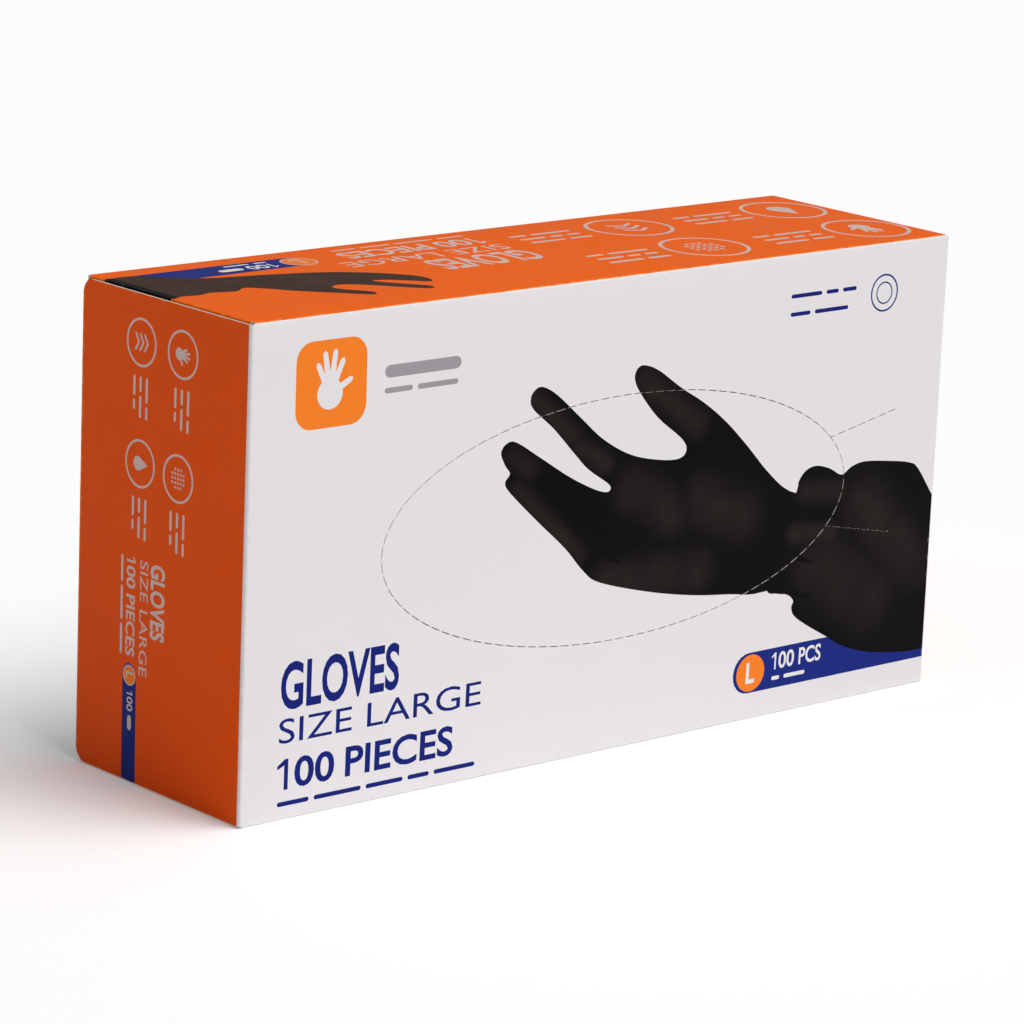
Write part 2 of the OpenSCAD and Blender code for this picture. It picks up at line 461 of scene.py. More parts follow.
def fold_sheet(name, spots, faces, plain, place, body, replaced=()):
    """Stand flat faces up as a board piece: place maps a flat point to the outer surface.

    The printed side is turned away from the carton's middle.
    """
    bm = bmesh.new()
    made = {}
    finishes = [plain]
    for corners, colour, _ in faces:
        colour = colour or plain
        if colour not in finishes:
            finishes.append(colour)
        for i in corners:
            if i not in made:
                made[i] = bm.verts.new(place(spots[i].x, spots[i].y))
        face = bm.faces.new([made[i] for i in corners])
        face.material_index = finishes.index(colour)
        face.smooth = True
    bm.normal_update()
    middle = Vector((0, 0, half_h))
    if sum(face.normal.dot(face.calc_center_median() - middle) for face in bm.faces) < 0:
        bmesh.ops.reverse_faces(bm, faces=bm.faces)
    piece = new_piece(name, bm, *(inks[colour] for colour in finishes), core_board)
    board = piece.modifiers.new("board", "SOLIDIFY")
    board.thickness = wall
    board.offset = -1
    board.material_offset = len(finishes)
    board.material_offset_rim = len(finishes)
    apply_modifiers(piece)
    if body:
        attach(piece, body)
    if replaced:
        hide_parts(*replaced)
    return piece


def grid_lines(half_u, half_v, places_u, places_v):
    """Straight cuts right across a sheet at the given places."""
    return ([((u, -half_v), (u, half_v)) for u in places_u]
            + [((-half_u, v), (half_u, v)) for v in places_v])


def steps_between(low, high, pitch):
    """Evenly spaced numbers inside a span, no further apart than the pitch."""
    count = max(1, round((high - low) / pitch))
    return [low + (high - low) * i / count for i in range(1, count)]


# A panel is cut about this closely, so that it can bow.
bow_step = 9 * MM

# Half of a fold: the sheet runs flat up to the fold's start, then turns through 45 degrees.
fold_half = crease_r * pi / 4
fold_bends = [fold_half * i / 4 for i in range(4)]


def over_edge(v, half):
    """Where a flat distance v from the panel's middle lands: along the panel, and inwards."""
    flat = half - crease_r
    past = abs(v) - flat
    if past <= 0:
        return v, 0.0
    angle = past / crease_r
    return (flat + crease_r * sin(angle)) * (1 if v > 0 else -1), crease_r * (1 - cos(angle))


def fold_places(half):
    """Cuts that let a sheet's two long edges bend, for a panel of this half width."""
    return [side * (half - crease_r + bend) for side in (-1, 1) for bend in fold_bends]


# ---- Front panel, tear-out oval and thumb tab ---------------------------------------------
# One sheet of white board with the artwork. A perforation knife cuts the oval and two short
# tear lines into it, and leaves a tie of board after every dash. The oval comes out whole.

kerf = 0.24 * MM
tie_gap = 0.02 * MM
dash, tie = 2.8 * MM, 1.0 * MM
oval_low, oval_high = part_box("tear_out_panel")
tab_low, tab_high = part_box("thumb_tab")
oval_u = (oval_low.x + oval_high.x) / 2
oval_v = (oval_low.z + oval_high.z) / 2 - half_h
cad_kerf = 0.2 * MM
oval_a = (oval_high.x - oval_low.x + cad_kerf) / 2
oval_b = (oval_high.z - oval_low.z + cad_kerf) / 2
bulge = 0.9 * MM


def from_corner(x, z):
    """A place measured in millimetres from the front's lower left corner."""
    return x * MM - half_l, z * MM - half_h


def stand_front(u, v):
    """The front's outer surface, a little crowned by what the carton holds."""
    along, inwards = over_edge(v, half_h)
    crown = bulge * max(0, 1 - (u / half_l) ** 2) * max(0, 1 - (v / half_h) ** 2) ** 0.7
    return u, -half_d + inwards - crown, along + half_h


def ragged_line(points, side, closed=True):
    """Cut along a line as a perforation knife does: kerf wide, but for a tie after each dash.

    side is 1 or -1 for the board on either side of the cut.
    """
    ends = points + points[:1] if closed else points
    lengths = [(Vector(b) - Vector(a)).length for a, b in zip(ends, ends[1:])]
    count = round(sum(lengths) / (dash + tie))
    pitch = sum(lengths) / count
    steps = []
    for i in range(count):
        start = i * pitch
        steps += [(start, tie_gap), (start + tie, tie_gap)]
        steps += [(start + tie + share * (pitch - tie), kerf)
                  for share in (0.01, 0.33, 0.67, 0.99)]
    outline, travelled = [], 0.0
    for a, b, step in zip(ends, ends[1:], lengths):
        a, b = Vector(a), Vector(b)
        across = Vector((b.y - a.y, a.x - b.x)).normalized()
        while steps and steps[0][0] < travelled + step:
            reached, gap = steps.pop(0)
            on_line = a.lerp(b, (reached - travelled) / step)
            outline.append(tuple(on_line + across * side * gap / 2))
        travelled += step
    return outline


oval_ring = [(oval_u + oval_a * cos(tau * i / 720), oval_v + oval_b * sin(tau * i / 720))
             for i in range(720)]
oval_hole = ragged_line(oval_ring, 1)
oval_rim = ragged_line(oval_ring, -1)

# The tab: two tear lines run from the oval to its fold, which is only creased. The crease
# itself is a narrow strip of its own between the panel and the tab.
cad_tab_gap = 0.3 * MM
fold_u = tab_high.x + cad_tab_gap
tab_wide = (tab_high.z - tab_low.z) / 2
tear_start = oval_u + oval_a * 0.9
tear_slope = tan(radians(11.5))
tab_tip = tab_wide - (fold_u - tear_start) * tear_slope
crease_half = 0.5 * MM
strip_half = 25 * MM
upper_tear = [(tear_start, oval_v + tab_tip), (fold_u + crease_half, oval_v + tab_wide)]
lower_tear = [(u, 2 * oval_v - v) for u, v in upper_tear]


def tab_outline(side):
    """The tab with its fold, as the hole in the panel (1) or as the tab's own edge (-1)."""
    upper = ragged_line(upper_tear, -side, closed=False)
    lower = ragged_line(lower_tear, side, closed=False)
    end = fold_u + crease_half
    return lower + [(end, lower[-1][1]), (end, upper[-1][1])] + upper[::-1]


tab_hole = tab_outline(1)
tab_rim = tab_outline(-1)
tab_strip = rectangle(fold_u - crease_half, oval_v - strip_half,
                      fold_u + crease_half, oval_v + strip_half)

# Artwork, in millimetres from the lower left corner of the front. A gloved hand reaches in from
# the right, and a second one draws its cuff on.
reaching_hand = [
    (199.5, 39.4), (175.5, 35.4), (162.5, 36.6), (148.5, 38.4), (132.5, 41.7), (115.5, 46.6),
    (109.5, 50.6), (103, 57.4), (93, 66), (83.7, 74.4), (81.7, 77.4), (83.2, 79.7), (81.5, 82),
    (80, 85.4), (81.7, 87.6), (85, 87.6), (93, 82.8), (103, 76.6), (111.2, 72.4), (116, 70.7),
    (117.8, 71.1), (117, 72.8), (110, 77.4), (105.5, 81.6), (97.5, 89.6), (90.5, 95.4),
    (89.3, 98.4), (90.8, 100.6), (93.5, 101), (98.3, 98.4), (106.5, 91.6), (114.8, 84.8),
    (124.5, 79.6), (134.5, 77), (141.5, 76.4), (144.2, 78.2), (142.5, 81.6), (133.5, 88.4),
    (126.7, 96), (124.8, 99.9), (125.9, 102.4), (128.5, 102.8), (133.5, 100.8), (141.5, 95.4),
    (150, 90.4), (158.2, 84.4), (166.3, 77), (175, 68.4), (183.5, 62.2), (199.5, 56.4)]
holding_hand = [
    (185.7, 61.2), (186.7, 64.7), (189.3, 67.3), (193.3, 68), (198.3, 66.6), (202.9, 64.3),
    (206.7, 66.1), (211.7, 66.9), (220.7, 65.9), (229.3, 64.4), (233.2, 62.1), (239.9, 53.3),
    (243, 51.7), (243, 8.7), (239.9, 9.7), (230.7, 10.1), (216.7, 12.3), (206.7, 15.7),
    (200.5, 19.2), (193.1, 23.3), (187.9, 26.7), (186.5, 29.3), (187, 31.3), (184.5, 33.3),
    (180.7, 34.1), (176.7, 36.1), (179.7, 47.7)]
fold_marks = [
    [(187, 55.6), (190.5, 54.2), (195, 53.7), (200, 54.6), (195, 55), (190.5, 55.4)],
    [(184, 45.6), (187, 42.8), (191, 41.2), (194.5, 41), (191, 42.6), (187.6, 44.6)],
    [(185, 34.6), (189, 31.8), (195, 31), (190.5, 33)],
    [(116, 61.2), (121, 62.4), (127, 61.4), (133, 57.6), (127, 59.8), (121, 60.4)],
    [(113.5, 56), (117, 52.6), (123, 50.6), (118.6, 53.8)]]


def soft_stroke(tree, spot, start, end, reach):
    """A mask that is 1 along a line on the front and fades out at a distance from it."""
    def vector_node(operation, first, second):
        node = tree.nodes.new("ShaderNodeVectorMath")
        node.operation = operation
        for socket, value in zip(node.inputs, (first, second)):
            if isinstance(value, bpy.types.NodeSocket):
                tree.links.new(value, socket)
            else:
                socket.default_value = value
        return node

    start, end = (Vector((x * MM - half_l, 0, z * MM)) for x, z in (start, end))
    way = end - start
    offset = vector_node("SUBTRACT", spot, start).outputs[0]
    share = maths(tree, "MAXIMUM", 0, maths(
        tree, "MINIMUM", 1, vector_node("DOT_PRODUCT", offset, way / way.length_squared)
        .outputs["Value"]))
    nearest = tree.nodes.new("ShaderNodeVectorMath")
    nearest.operation = "SCALE"
    nearest.inputs[0].default_value = way
    tree.links.new(share, nearest.inputs["Scale"])
    apart = vector_node("SUBTRACT", offset, nearest.outputs[0]).outputs[0]
    distance = vector_node("LENGTH", apart, (0, 0, 0)).outputs["Value"]
    return between(tree, distance, 0, reach * MM, 1, 0)


# The lit sides of the printed fingers and palms: a line on the front and how far it fades.
lit_strokes = [
    ((91, 98), (104, 87), 5), ((106, 84), (116, 78), 5), ((128, 99), (148, 85), 6.5),
    ((84, 84), (90, 80), 5), ((86, 75), (108, 55), 4.6), ((118, 46), (150, 45), 10),
    ((126, 70), (140, 62), 11), ((150, 64), (166, 58), 12), ((189, 61.5), (202, 60), 5.5),
    ((186, 50), (200, 48), 5), ((196, 40), (216, 28), 15), ((212, 56), (232, 36), 13)]
glove_ink, lit_glove_ink = ink(8, 5, 6), ink(38, 32, 30)
glove_print = print_finish("glove_print", glove_ink, gloss=0.36, mottle=0.25)
tree = glove_print.node_tree
flat_spot = tree.nodes.new("ShaderNodeVectorMath")
flat_spot.operation = "MULTIPLY"
flat_spot.inputs[1].default_value = (1, 0, 1)
tree.links.new(tree.nodes.new("ShaderNodeTexCoord").outputs["Object"], flat_spot.inputs[0])
lit = 0
for start, end, reach in lit_strokes:
    lit = maths(tree, "MAXIMUM", lit, soft_stroke(tree, flat_spot.outputs[0], start, end, reach))
patchy = between(tree, blotches(tree, flat_spot.outputs[0], 70, 2), 0.2, 0.7, 0.5, 1)
tree.links.new(
    blend_colours(tree, maths(tree, "MULTIPLY", lit, patchy), glove_ink, lit_glove_ink),
    tree.nodes["Group"].inputs["Ink"])
inks["glove"] = glove_print


def rounded_box(left, low, right, high, radius):
    """A rectangle with rounded corners."""
    corners = ((right - radius, high - radius), (left + radius, high - radius),
               (left + radius, low + radius), (right - radius, low + radius))
    return [(x + radius * cos(pi / 2 * (turn + i / 8)), y + radius * sin(pi / 2 * (turn + i / 8)))
            for turn, (x, y) in enumerate(corners) for i in range(9)]


def small_hand(x, y, size):
    """An icon of an open hand: a palm, four fingers and a thumb, as closed outlines."""
    palm = [disc(x, y - 0.32 * size, 0.36 * size, 24)]
    fingers = []
    for angle, reach in ((-26, 0.78), (-9, 0.96), (8, 0.98), (25, 0.84), (62, 0.66)):
        way = Vector((sin(radians(angle)), cos(radians(angle))))
        side = Vector((way.y, -way.x)) * 0.085 * size
        root = Vector((x, y - 0.35 * size))
        tip = root + way * reach * size
        fingers.append([tuple(root + side), tuple(tip + side * 0.8), tuple(tip + way * 0.07 * size),
                        tuple(tip - side * 0.8), tuple(root - side)])
    return palm + fingers


def hundred(left, bottom, width, tall, bold=0.0):
    """The number 100, with a flag on its first figure, filling the given box."""
    one = [(0.12, 0), (0.19, 0), (0.19, 1), (0.13, 1), (0, 0.8), (0, 0.68), (0.12, 0.8)]
    return ([[(left + x * width, bottom + y * tall) for x, y in one]]
            + lettering("00", left + 0.3 * width, bottom, 0.7 * width, tall, bold))


front_art = turned_art([
    ("navy", [bar(166, 13.2, 80, 11.4, 12)]),
    ("glove", [smooth_loop(reaching_hand), smooth_loop(holding_hand)]),
    ("black", [smooth_loop(mark) for mark in fold_marks]),
    ("bright_orange", [disc(172.5, 13.1, 5.2)]),
    ("white", lettering("L", 170.9, 10.2, 3.2, 5.9, 0.03)),
    ("white", hundred(180.4, 12.7, 8.4, 4.8, 0.02)),
    ("white", lettering("PCS", 190.6, 12.7, 8.4, 4.8, 0.02)),
    ("white", word_bars(180.6, 10.3, 1.1, [3, 8])),
    ("bright_orange", [rounded_box(13.8, 98.6, 35.8, 120.6, 5)]),
    ("white", small_hand(24.4, 110.6, 11)),
    ("grey", word_bars(41.5, 110.6, 3.2, [24.5]) + word_bars(41.5, 105.8, 1.4, [9, 13])),
    ("text_navy", lettering("GLOVES", 11.8, 28.3, 37.4, 12.4, 0.024)),
    ("text_navy", lettering("SIZE LARGE", 11.6, 19.8, 65, 6.4)),
    ("text_navy", hundred(11.4, 7.8, 18, 8.0, 0.02)),
    ("text_navy", lettering("PIECES", 32.9, 7.8, 35, 8.0, 0.02)),
    ("text_navy", word_bars(11.6, 4.2, 1.2, [10, 15, 12, 7, 13.6])),
    ("text_navy", word_bars(180.3, 115.6, 1.1, [11.5, 4.6, 5.2])),
    ("text_navy", word_bars(180.3, 110.7, 1.1, [7.4, 12.6])),
    ("text_navy", [disc(215.6, 113.2, 5.2)]),
    ("white", [disc(215.6, 113.2, 4.7)]),
    ("text_navy", [disc(215.6, 113.2, 3.1)]),
    ("white", [disc(215.6, 113.2, 2.7)]),
], from_corner)

edge_v = half_h - crease_r + fold_half
front_u = half_l - crease_r
front_lines = grid_lines(front_u, edge_v, steps_between(-half_l, half_l, 10 * MM),
                         steps_between(-half_h, half_h, bow_step) + fold_places(half_h))
spots, sheet = cut_sheet(
    rectangle(-front_u, -edge_v, front_u, edge_v), front_art,
    [("oval_hole", oval_hole), ("oval", oval_rim), ("tab_hole", tab_hole), ("tab", tab_rim),
     ("tab_strip", tab_strip)], front_lines)


def share_out(sheet):
    """Sort the cut front into the pieces that its die lines make."""
    shares = {"front_panel": [], "tear_out": [], "thumb_tab": [], "tab_crease": []}
    for face in sheet:
        cuts = face[2]
        if "oval" in cuts:
            shares["tear_out"].append(face)
        elif "oval_hole" in cuts:
            continue
        elif "tab" in cuts:
            shares["tab_crease" if "tab_strip" in cuts else "thumb_tab"].append(face)
        elif "tab_hole" not in cuts:
            shares["front_panel"].append(face)
    return shares


shares = share_out(sheet)
fold_sheet("front_panel_board", spots, shares["front_panel"], "white", stand_front,
           "carton", ["front_panel"])
fold_sheet("tear_out_oval", spots, shares["tear_out"], "white", stand_front,
           "tear_out", ["tear_out_panel"])
fold_sheet("thumb_tab_board", spots, shares["thumb_tab"], "white", stand_front,
           "tab", ["thumb_tab"])
tab_crease = fold_sheet("thumb_tab_crease", spots, shares["tab_crease"], "white", stand_front,
                        None)
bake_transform(tab_crease)


# ---- Top, back and bottom panels ----------------------------------------------------------
# The rest of the carton's tube, in the same sheet of board. The top and bottom are printed
# orange and end a little short, where the dust flaps fold down. The back is white.

panel_lip = 0.15 * MM
lid_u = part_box("top_panel")[1].x + panel_lip
back_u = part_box("back_panel")[1].x - crease_r
deep_v = half_d - crease_r + fold_half


def stand_top(u, v):
    """The top's outer surface: u runs along +X and v towards the back."""
    along, inwards = over_edge(v, half_d)
    crown = 0.35 * MM * max(0, 1 - (u / half_l) ** 2) * max(0, 1 - (v / half_d) ** 2)
    return u, along, height - inwards + crown


def stand_bottom(u, v):
    """The bottom's outer surface: u runs along +X and v towards the front."""
    along, inwards = over_edge(v, half_d)
    return u, -along, inwards


def stand_back(u, v):
    """The back's outer surface, seen from behind: u runs along -X and v upwards."""
    along, inwards = over_edge(v, half_h)
    crown = 0.5 * MM * max(0, 1 - (u / half_l) ** 2) * max(0, 1 - (v / half_h) ** 2)
    return -u, half_d - inwards + crown, along + half_h


def on_top(x, y):
    """A place in millimetres from the top's back left corner."""
    return x * MM - half_l, half_d - y * MM


def read_from_behind(right, low):
    """Turns words half round on the top, so that they read from behind the carton."""
    return lambda a, b: on_top(right - a, low + b)


def read_downwards(right, top):
    """Turns words to read down a flap. Places are from its back edge and the carton's foot."""
    return lambda a, b: ((right + b) * MM, (top - a) * MM - half_h)


def ring(x, y, radius, thick, inside):
    """A printed ring as two discs, the inner one in the colour of what lies inside it."""
    return [("silver", [disc(x, y, radius)]), (inside, [disc(x, y, radius - thick)])]


def droplet(x, y, size):
    """An icon of a drop."""
    round_part = [(x + 0.42 * size * cos(a), y - 0.2 * size + 0.42 * size * sin(a))
                  for a in (radians(150 + 240 * i / 20) for i in range(21))]
    return [round_part + [(x, y + 0.72 * size)]]


def chevrons(x, y, size):
    """An icon of three stacked chevrons."""
    marks = []
    for step in (-0.42, 0, 0.42):
        low = y + step * size - 0.22 * size
        marks.append([(x - 0.5 * size, low), (x, low + 0.3 * size), (x + 0.5 * size, low),
                      (x + 0.5 * size, low + 0.17 * size), (x, low + 0.47 * size),
                      (x - 0.5 * size, low + 0.17 * size)])
    return marks


def grip_dots(x, y, size):
    """An icon of a dotted grip pattern."""
    return [disc(x + i * 0.26 * size, y + j * 0.26 * size, 0.085 * size, 10)
            for i in range(-2, 3) for j in range(-2, 3) if i * i + j * j < 6]


top_hand = [
    (-3, 8), (3.5, 7.4), (9, 7.6), (14, 11.5), (20, 16.5), (26, 19.8), (40, 23.2), (54.5, 28),
    (64.5, 34.5), (71.6, 42.4), (72.9, 47.8), (70.8, 50.6), (66.8, 47.4), (62.4, 43.8),
    (58.2, 42.8), (61.6, 48), (67.2, 54.6), (66, 57.4), (62.4, 55.2), (53.4, 46), (48, 42.6),
    (44.4, 44), (45.2, 47.6), (49.8, 53.4), (48.4, 56.2), (45.4, 54.4), (34, 43.8), (29, 37.6),
    (24.8, 33.8), (20.2, 36.2), (13.6, 34.4), (9.8, 35.4), (4, 34.6), (-3, 36)]


# The printed glove's cuff ends in a black edge, which runs over the fold at the left end.
cuff_near, cuff_far = 7.8, 35.4

top_icons = [(167, 19, chevrons), (166, 50, grip_dots), (224.5, 19.5, droplet),
             (225.3, 51.3, small_hand)]
top_art = turned_art([
    ("navy", [bar(-4, 12.8, 66, 10.6, 12)]),
    ("brown", [smooth_loop(top_hand)]),
    ("black", [rectangle(-4, cuff_near, 3.4, cuff_far)]),
    *ring(57.8, 13.4, 5.0, 0.5, "bright_orange"),
], on_top)
top_art += turned_art([
    ("silver", lettering("L", 60, 10.6, 2.8, 5.4, 0.02)),
    ("white", hundred(69, 11.6, 9, 4.6, 0.02)),
    ("white", word_bars(79.6, 14, 2.6, [7.6]) + word_bars(69, 9.6, 1, [4, 8])),
    ("silver", lettering("GLOVES", 0, 29, 34, 12.6, 0.022)),
    ("silver", lettering("SIZE LARGE", 0, 20.4, 54, 6.4)),
    ("silver", hundred(0, 9.4, 15, 8, 0.02)),
    ("silver", lettering("PIECES", 18, 9.4, 29, 8, 0.02)),
    ("silver", word_bars(0, 6, 1.1, [9, 13, 10, 8])),
], read_from_behind(119, 0))
for x, y, icon in top_icons:
    top_art += turned_art(ring(x, y, 12.4, 1.1, "orange"), on_top)
    top_art.append(("silver", moved(icon(0, 0, 8.6), read_from_behind(x, y))))
    words_x = 128 if x < 200 else 187
    for line, words in ((0, [6, 14]), (4.6, [9, 4.4, 4.6]), (9.2, [12, 8])):
        top_art.append(("silver", moved(word_bars(words_x, y - 4.6 + line, 1.5, words), on_top)))

back_art = [
    ("text_navy", lettering("GLOVES", 14, 98, 60, 17, 0.018)),
    ("text_navy", lettering("SIZE LARGE", 14, 86, 60, 6.6)),
    ("orange", [bar(14, 79, 212, 1.6)]),
    ("navy", [bar(166.7, 13.4, 80, 11.2, 12)]),
    ("bright_orange", [disc(173, 13.4, 5.5)]),
    ("white", lettering("L", 171.3, 10.5, 3.2, 5.8, 0.02)),
    ("white", hundred(180.8, 11.1, 8.6, 4.6, 0.02)),
]
for i, words in enumerate(([30, 22, 34], [18, 41, 20], [36, 12, 33], [24, 28, 16], [12, 33, 40],
                           [28, 20, 18], [40, 26], [22, 31, 24], [35, 19])):
    back_art.append(("text_navy", word_bars(14, 71 - i * 5.6, 1.9, words)))
for i, icon in enumerate((small_hand, droplet, chevrons, grip_dots)):
    x, y = 150 + 24 * i, 56
    back_art += [("orange", [disc(x, y, 9.4)]), ("white", icon(x, y, 6))]
    for line, words in ((0, [9, 5]), (4, [6, 8])):
        back_art.append(("text_navy", word_bars(x - 8, y - 14 - line, 1.6, words, 1.4)))
back_art = turned_art(back_art, from_corner)

# The bottom has a white field with plain stripes, where a shop's code would go, and a white
# margin along its fold to the front.
bottom_art = [("white", [rectangle(-lid_u, deep_v - 1.6 * MM, lid_u, deep_v)]),
              ("white", [rectangle(70 * MM, -14 * MM, 108 * MM, 14 * MM)])]
stripe_widths, stripe_gap = (0.5, 0.9, 0.5, 1.3), 0.62
stripe_x = 74.0
for i in range(22):
    stripe_end = stripe_x + stripe_widths[i % 4]
    bottom_art.append(("black", [rectangle(stripe_x * MM, -10 * MM, stripe_end * MM, 10 * MM)]))
    stripe_x = stripe_end + stripe_gap


def tube_panel(name, node, half_u, half_v, rows, bends, art, plain, place):
    """One panel of the tube as a sheet with two long folded edges."""
    lines = grid_lines(half_u, half_v, steps_between(-half_u, half_u, 12 * MM), rows + bends)
    spots, sheet = cut_sheet(rectangle(-half_u, -half_v, half_u, half_v), art, [], lines)
    return fold_sheet(name, spots, sheet, plain, place, "carton", [node])


deep_rows = steps_between(-half_d, half_d, bow_step)
tube_panel("top_panel_board", "top_panel", lid_u, deep_v, deep_rows, fold_places(half_d),
           top_art, "orange", stand_top)
tube_panel("bottom_panel_board", "bottom_panel", lid_u, deep_v, deep_rows, fold_places(half_d),
           bottom_art, "orange", stand_bottom)
tube_panel("back_panel_board", "back_panel", back_u, edge_v,
           steps_between(-half_h, half_h, bow_step), fold_places(half_h),
           back_art, "white", stand_back)


# ---- Seam flap and its glue ---------------------------------------------------------------
# The maker's joint: a strip of the same board, folded up from the bottom panel and glued to
# the inside of the back. Its corners are cut off so that it never shows at the ends.

seam_low, seam_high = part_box("seam_flap")
seam_slope = 6 * MM
seam_outline = [(seam_low.x, seam_low.z), (seam_high.x, seam_low.z),
                (seam_high.x - seam_slope, seam_high.z), (seam_low.x + seam_slope, seam_high.z)]
spots, sheet = cut_sheet(seam_outline, [], [], [])
inks["bare"] = core_board
fold_sheet("seam_flap_board", spots, sheet, "bare",
           lambda u, v: (-u, seam_high.y, v), "carton", ["seam_flap"])

glue, tree, shader = new_finish("hot_melt_glue", Roughness=0.32, Subsurface_Weight=0.2,
                                Subsurface_Scale=1 * MM)
spot = tree.nodes.new("ShaderNodeTexCoord").outputs["Object"]
tree.links.new(blend_colours(tree, blotches(tree, spot, 220, 3), ink(240, 228, 192),
                             ink(222, 204, 156)), shader.inputs["Base Color"])
add_bump(tree, shader, blotches(tree, spot, 350, 3), 0.5, 0.2 * MM)


def glue_bead(name, low, high, along, across, body, node):
    """A pressed bead of hot melt: a thin strip with a wavy rounded outline, in a given box."""
    bm = bmesh.new()
    count = 48
    span = high[along] - low[along]
    width = high[across] - low[across]
    rims = []
    for side in (0, 1):
        rim = []
        for i in range(count + 1):
            share = i / count
            wave = noise.noise(Vector((share * 14, side * 9.7, span * 31)))
            end = min(1, min(share, 1 - share) * 16) ** 0.5
            spot = Vector(low)
            spot[along] += share * span
            half = width * end * (0.42 + 0.1 * wave)
            spot[across] += width / 2 + (half if side else -half)
            rim.append(bm.verts.new(spot))
        rims.append(rim)
    for i in range(count):
        bm.faces.new([rims[0][i], rims[0][i + 1], rims[1][i + 1], rims[1][i]])
    bmesh.ops.remove_doubles(bm, verts=bm.verts, dist=1e-6)
    thin = [k for k in range(3) if k not in (along, across)][0]
    raised = bmesh.ops.extrude_face_region(bm, geom=bm.faces[:])
    lift = Vector((0, 0, 0))
    lift[thin] = high[thin] - low[thin]
    bmesh.ops.translate(bm, vec=lift,
                        verts=[v for v in raised["geom"] if isinstance(v, bmesh.types.BMVert)])
    bmesh.ops.recalc_face_normals(bm, faces=bm.faces)
    bead = new_piece(name, bm, glue)
    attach(bead, body)
    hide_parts(node)


seam_glue_low, seam_glue_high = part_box("seam_glue")
glue_bead("seam_glue_bead", seam_glue_low, seam_glue_high, 0, 2, "carton", "seam_glue")


# ---- End flaps ----------------------------------------------------------------------------
# Each end closes with four flaps: two dust flaps fold in first from the top and the bottom,
# then the inner flap from the back, and the outer flap from the front is glued down over it.
# Every flap hangs on a crease, a strip of board bent round the fold.

def quarter_turn(corner, panel_way, flap_way):
    """The fold's outer line in section, from the panel's plane to the flap's."""
    corner, panel_way, flap_way = Vector(corner), Vector(panel_way), Vector(flap_way)
    centre = corner + crease_r * (panel_way + flap_way)
    return [centre - crease_r * (flap_way * cos(a) + panel_way * sin(a))
            for a in (pi / 2 * i / 8 for i in range(9))]


def crease(name, path, along, low, high, colour, flap_body, slot, printed=()):
    """A strip of board bent along a path, which runs from the panel's edge to the flap's.

    printed holds (ink, low, high) for each stretch of the strip in another ink.
    """
    steps = len(path) - 1
    lines = [((i * MM, low), (i * MM, high)) for i in range(1, steps)]
    art = [(other, [rectangle(0, near, steps * MM, far)]) for other, near, far in printed]
    spots, sheet = cut_sheet(rectangle(0, low, steps * MM, high), art, [], lines)
    strip = fold_sheet(name, spots, sheet, colour,
                       lambda u, v: path[round(u / MM)] + Vector(along) * v, None, ())
    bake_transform(strip)


def rounded_flap(wide, low, high, radius):
    """A flap's outline: its fold is at u = wide, and its free corners at u = 0 are rounded."""
    arc = [pi / 2 * i / 8 for i in range(9)]
    lower = [(radius - radius * cos(a), low + radius - radius * sin(a)) for a in arc]
    upper = [(radius - radius * sin(a), high - radius + radius * cos(a)) for a in arc]
    return lower + [(wide, low), (wide, high)] + upper


corner_r = 4 * MM
swell = 0.3 * MM
bead_w = 6 * MM
dust_taper = tan(radians(32))

# The top and bottom bulge out over the inner flaps' edges before they fold back into the dust
# flaps: distances out past the dust flap's plane, and down from the panel.
lip_bend = 0.55 * MM
lip_drop = 1.5 * MM
lip_line = [(panel_lip + lip_bend * sin(a), lip_bend * (1 - cos(a)))
            for a in (pi / 2 * i / 6 for i in range(7))]
lip_line += [(panel_lip + lip_bend * 0.45, lip_drop * 0.68), (0, lip_drop)]
under_lip = 1.4 * MM

end_icons = [(25, 114.3, chevrons), (42, 114.3, small_hand), (25.5, 83.6, droplet),
             (41.3, 83, grip_dots)]
end_art = []
for x, z, icon in end_icons:
    place_icon = read_downwards(x, z)
    # Each ring's inside takes the end flaps' darker orange, which is painted shade.
    end_art += turned_art(ring(0, 0, 6.2, 0.62, "deep_orange"), place_icon)
    end_art.append(("silver", moved(icon(0, 0, 4.4), place_icon)))
    for line, words in ((2.6, [6.4, 3.4]), (0, [4, 5.6]), (-2.6, [5.2, 2.6])):
        end_art.append(("silver", moved(word_bars(8.6, line, 0.9, words, 0.9), place_icon)))
end_art += [
    ("silver", moved(lettering("GLOVES", 0, 0, 19.5, 6.0, 0.03), read_downwards(31, 59.3))),
    ("silver", moved(lettering("SIZE LARGE", 0, 0, 30, 3.3), read_downwards(26.6, 59.2))),
    ("silver", moved(hundred(0, 0, 8.4, 3.8, 0.02) + lettering("PIECES", 10, 0, 16, 3.8, 0.02),
                     read_downwards(20.8, 59.3))),
    ("silver", moved(word_bars(0, 0, 0.9, [7, 9, 8], 0.9), read_downwards(18.9, 59))),
    ("navy", moved([bar(0, 0, 60, 5.8, 12)], read_downwards(22.7, 31.4))),
    *turned_art(ring(0, 0, 2.7, 0.35, "bright_orange"), read_downwards(22.7, 28.3)),
    ("silver", moved(lettering("L", -0.9, -1.5, 1.8, 3.0, 0.02), read_downwards(22.7, 28.3))),
    ("silver", moved(hundred(0, -1.0, 5.4, 2.5, 0.02), read_downwards(22.7, 24.3))),
    ("silver", moved(word_bars(6.4, 0.2, 1.6, [4]), read_downwards(22.7, 24.3))),
]

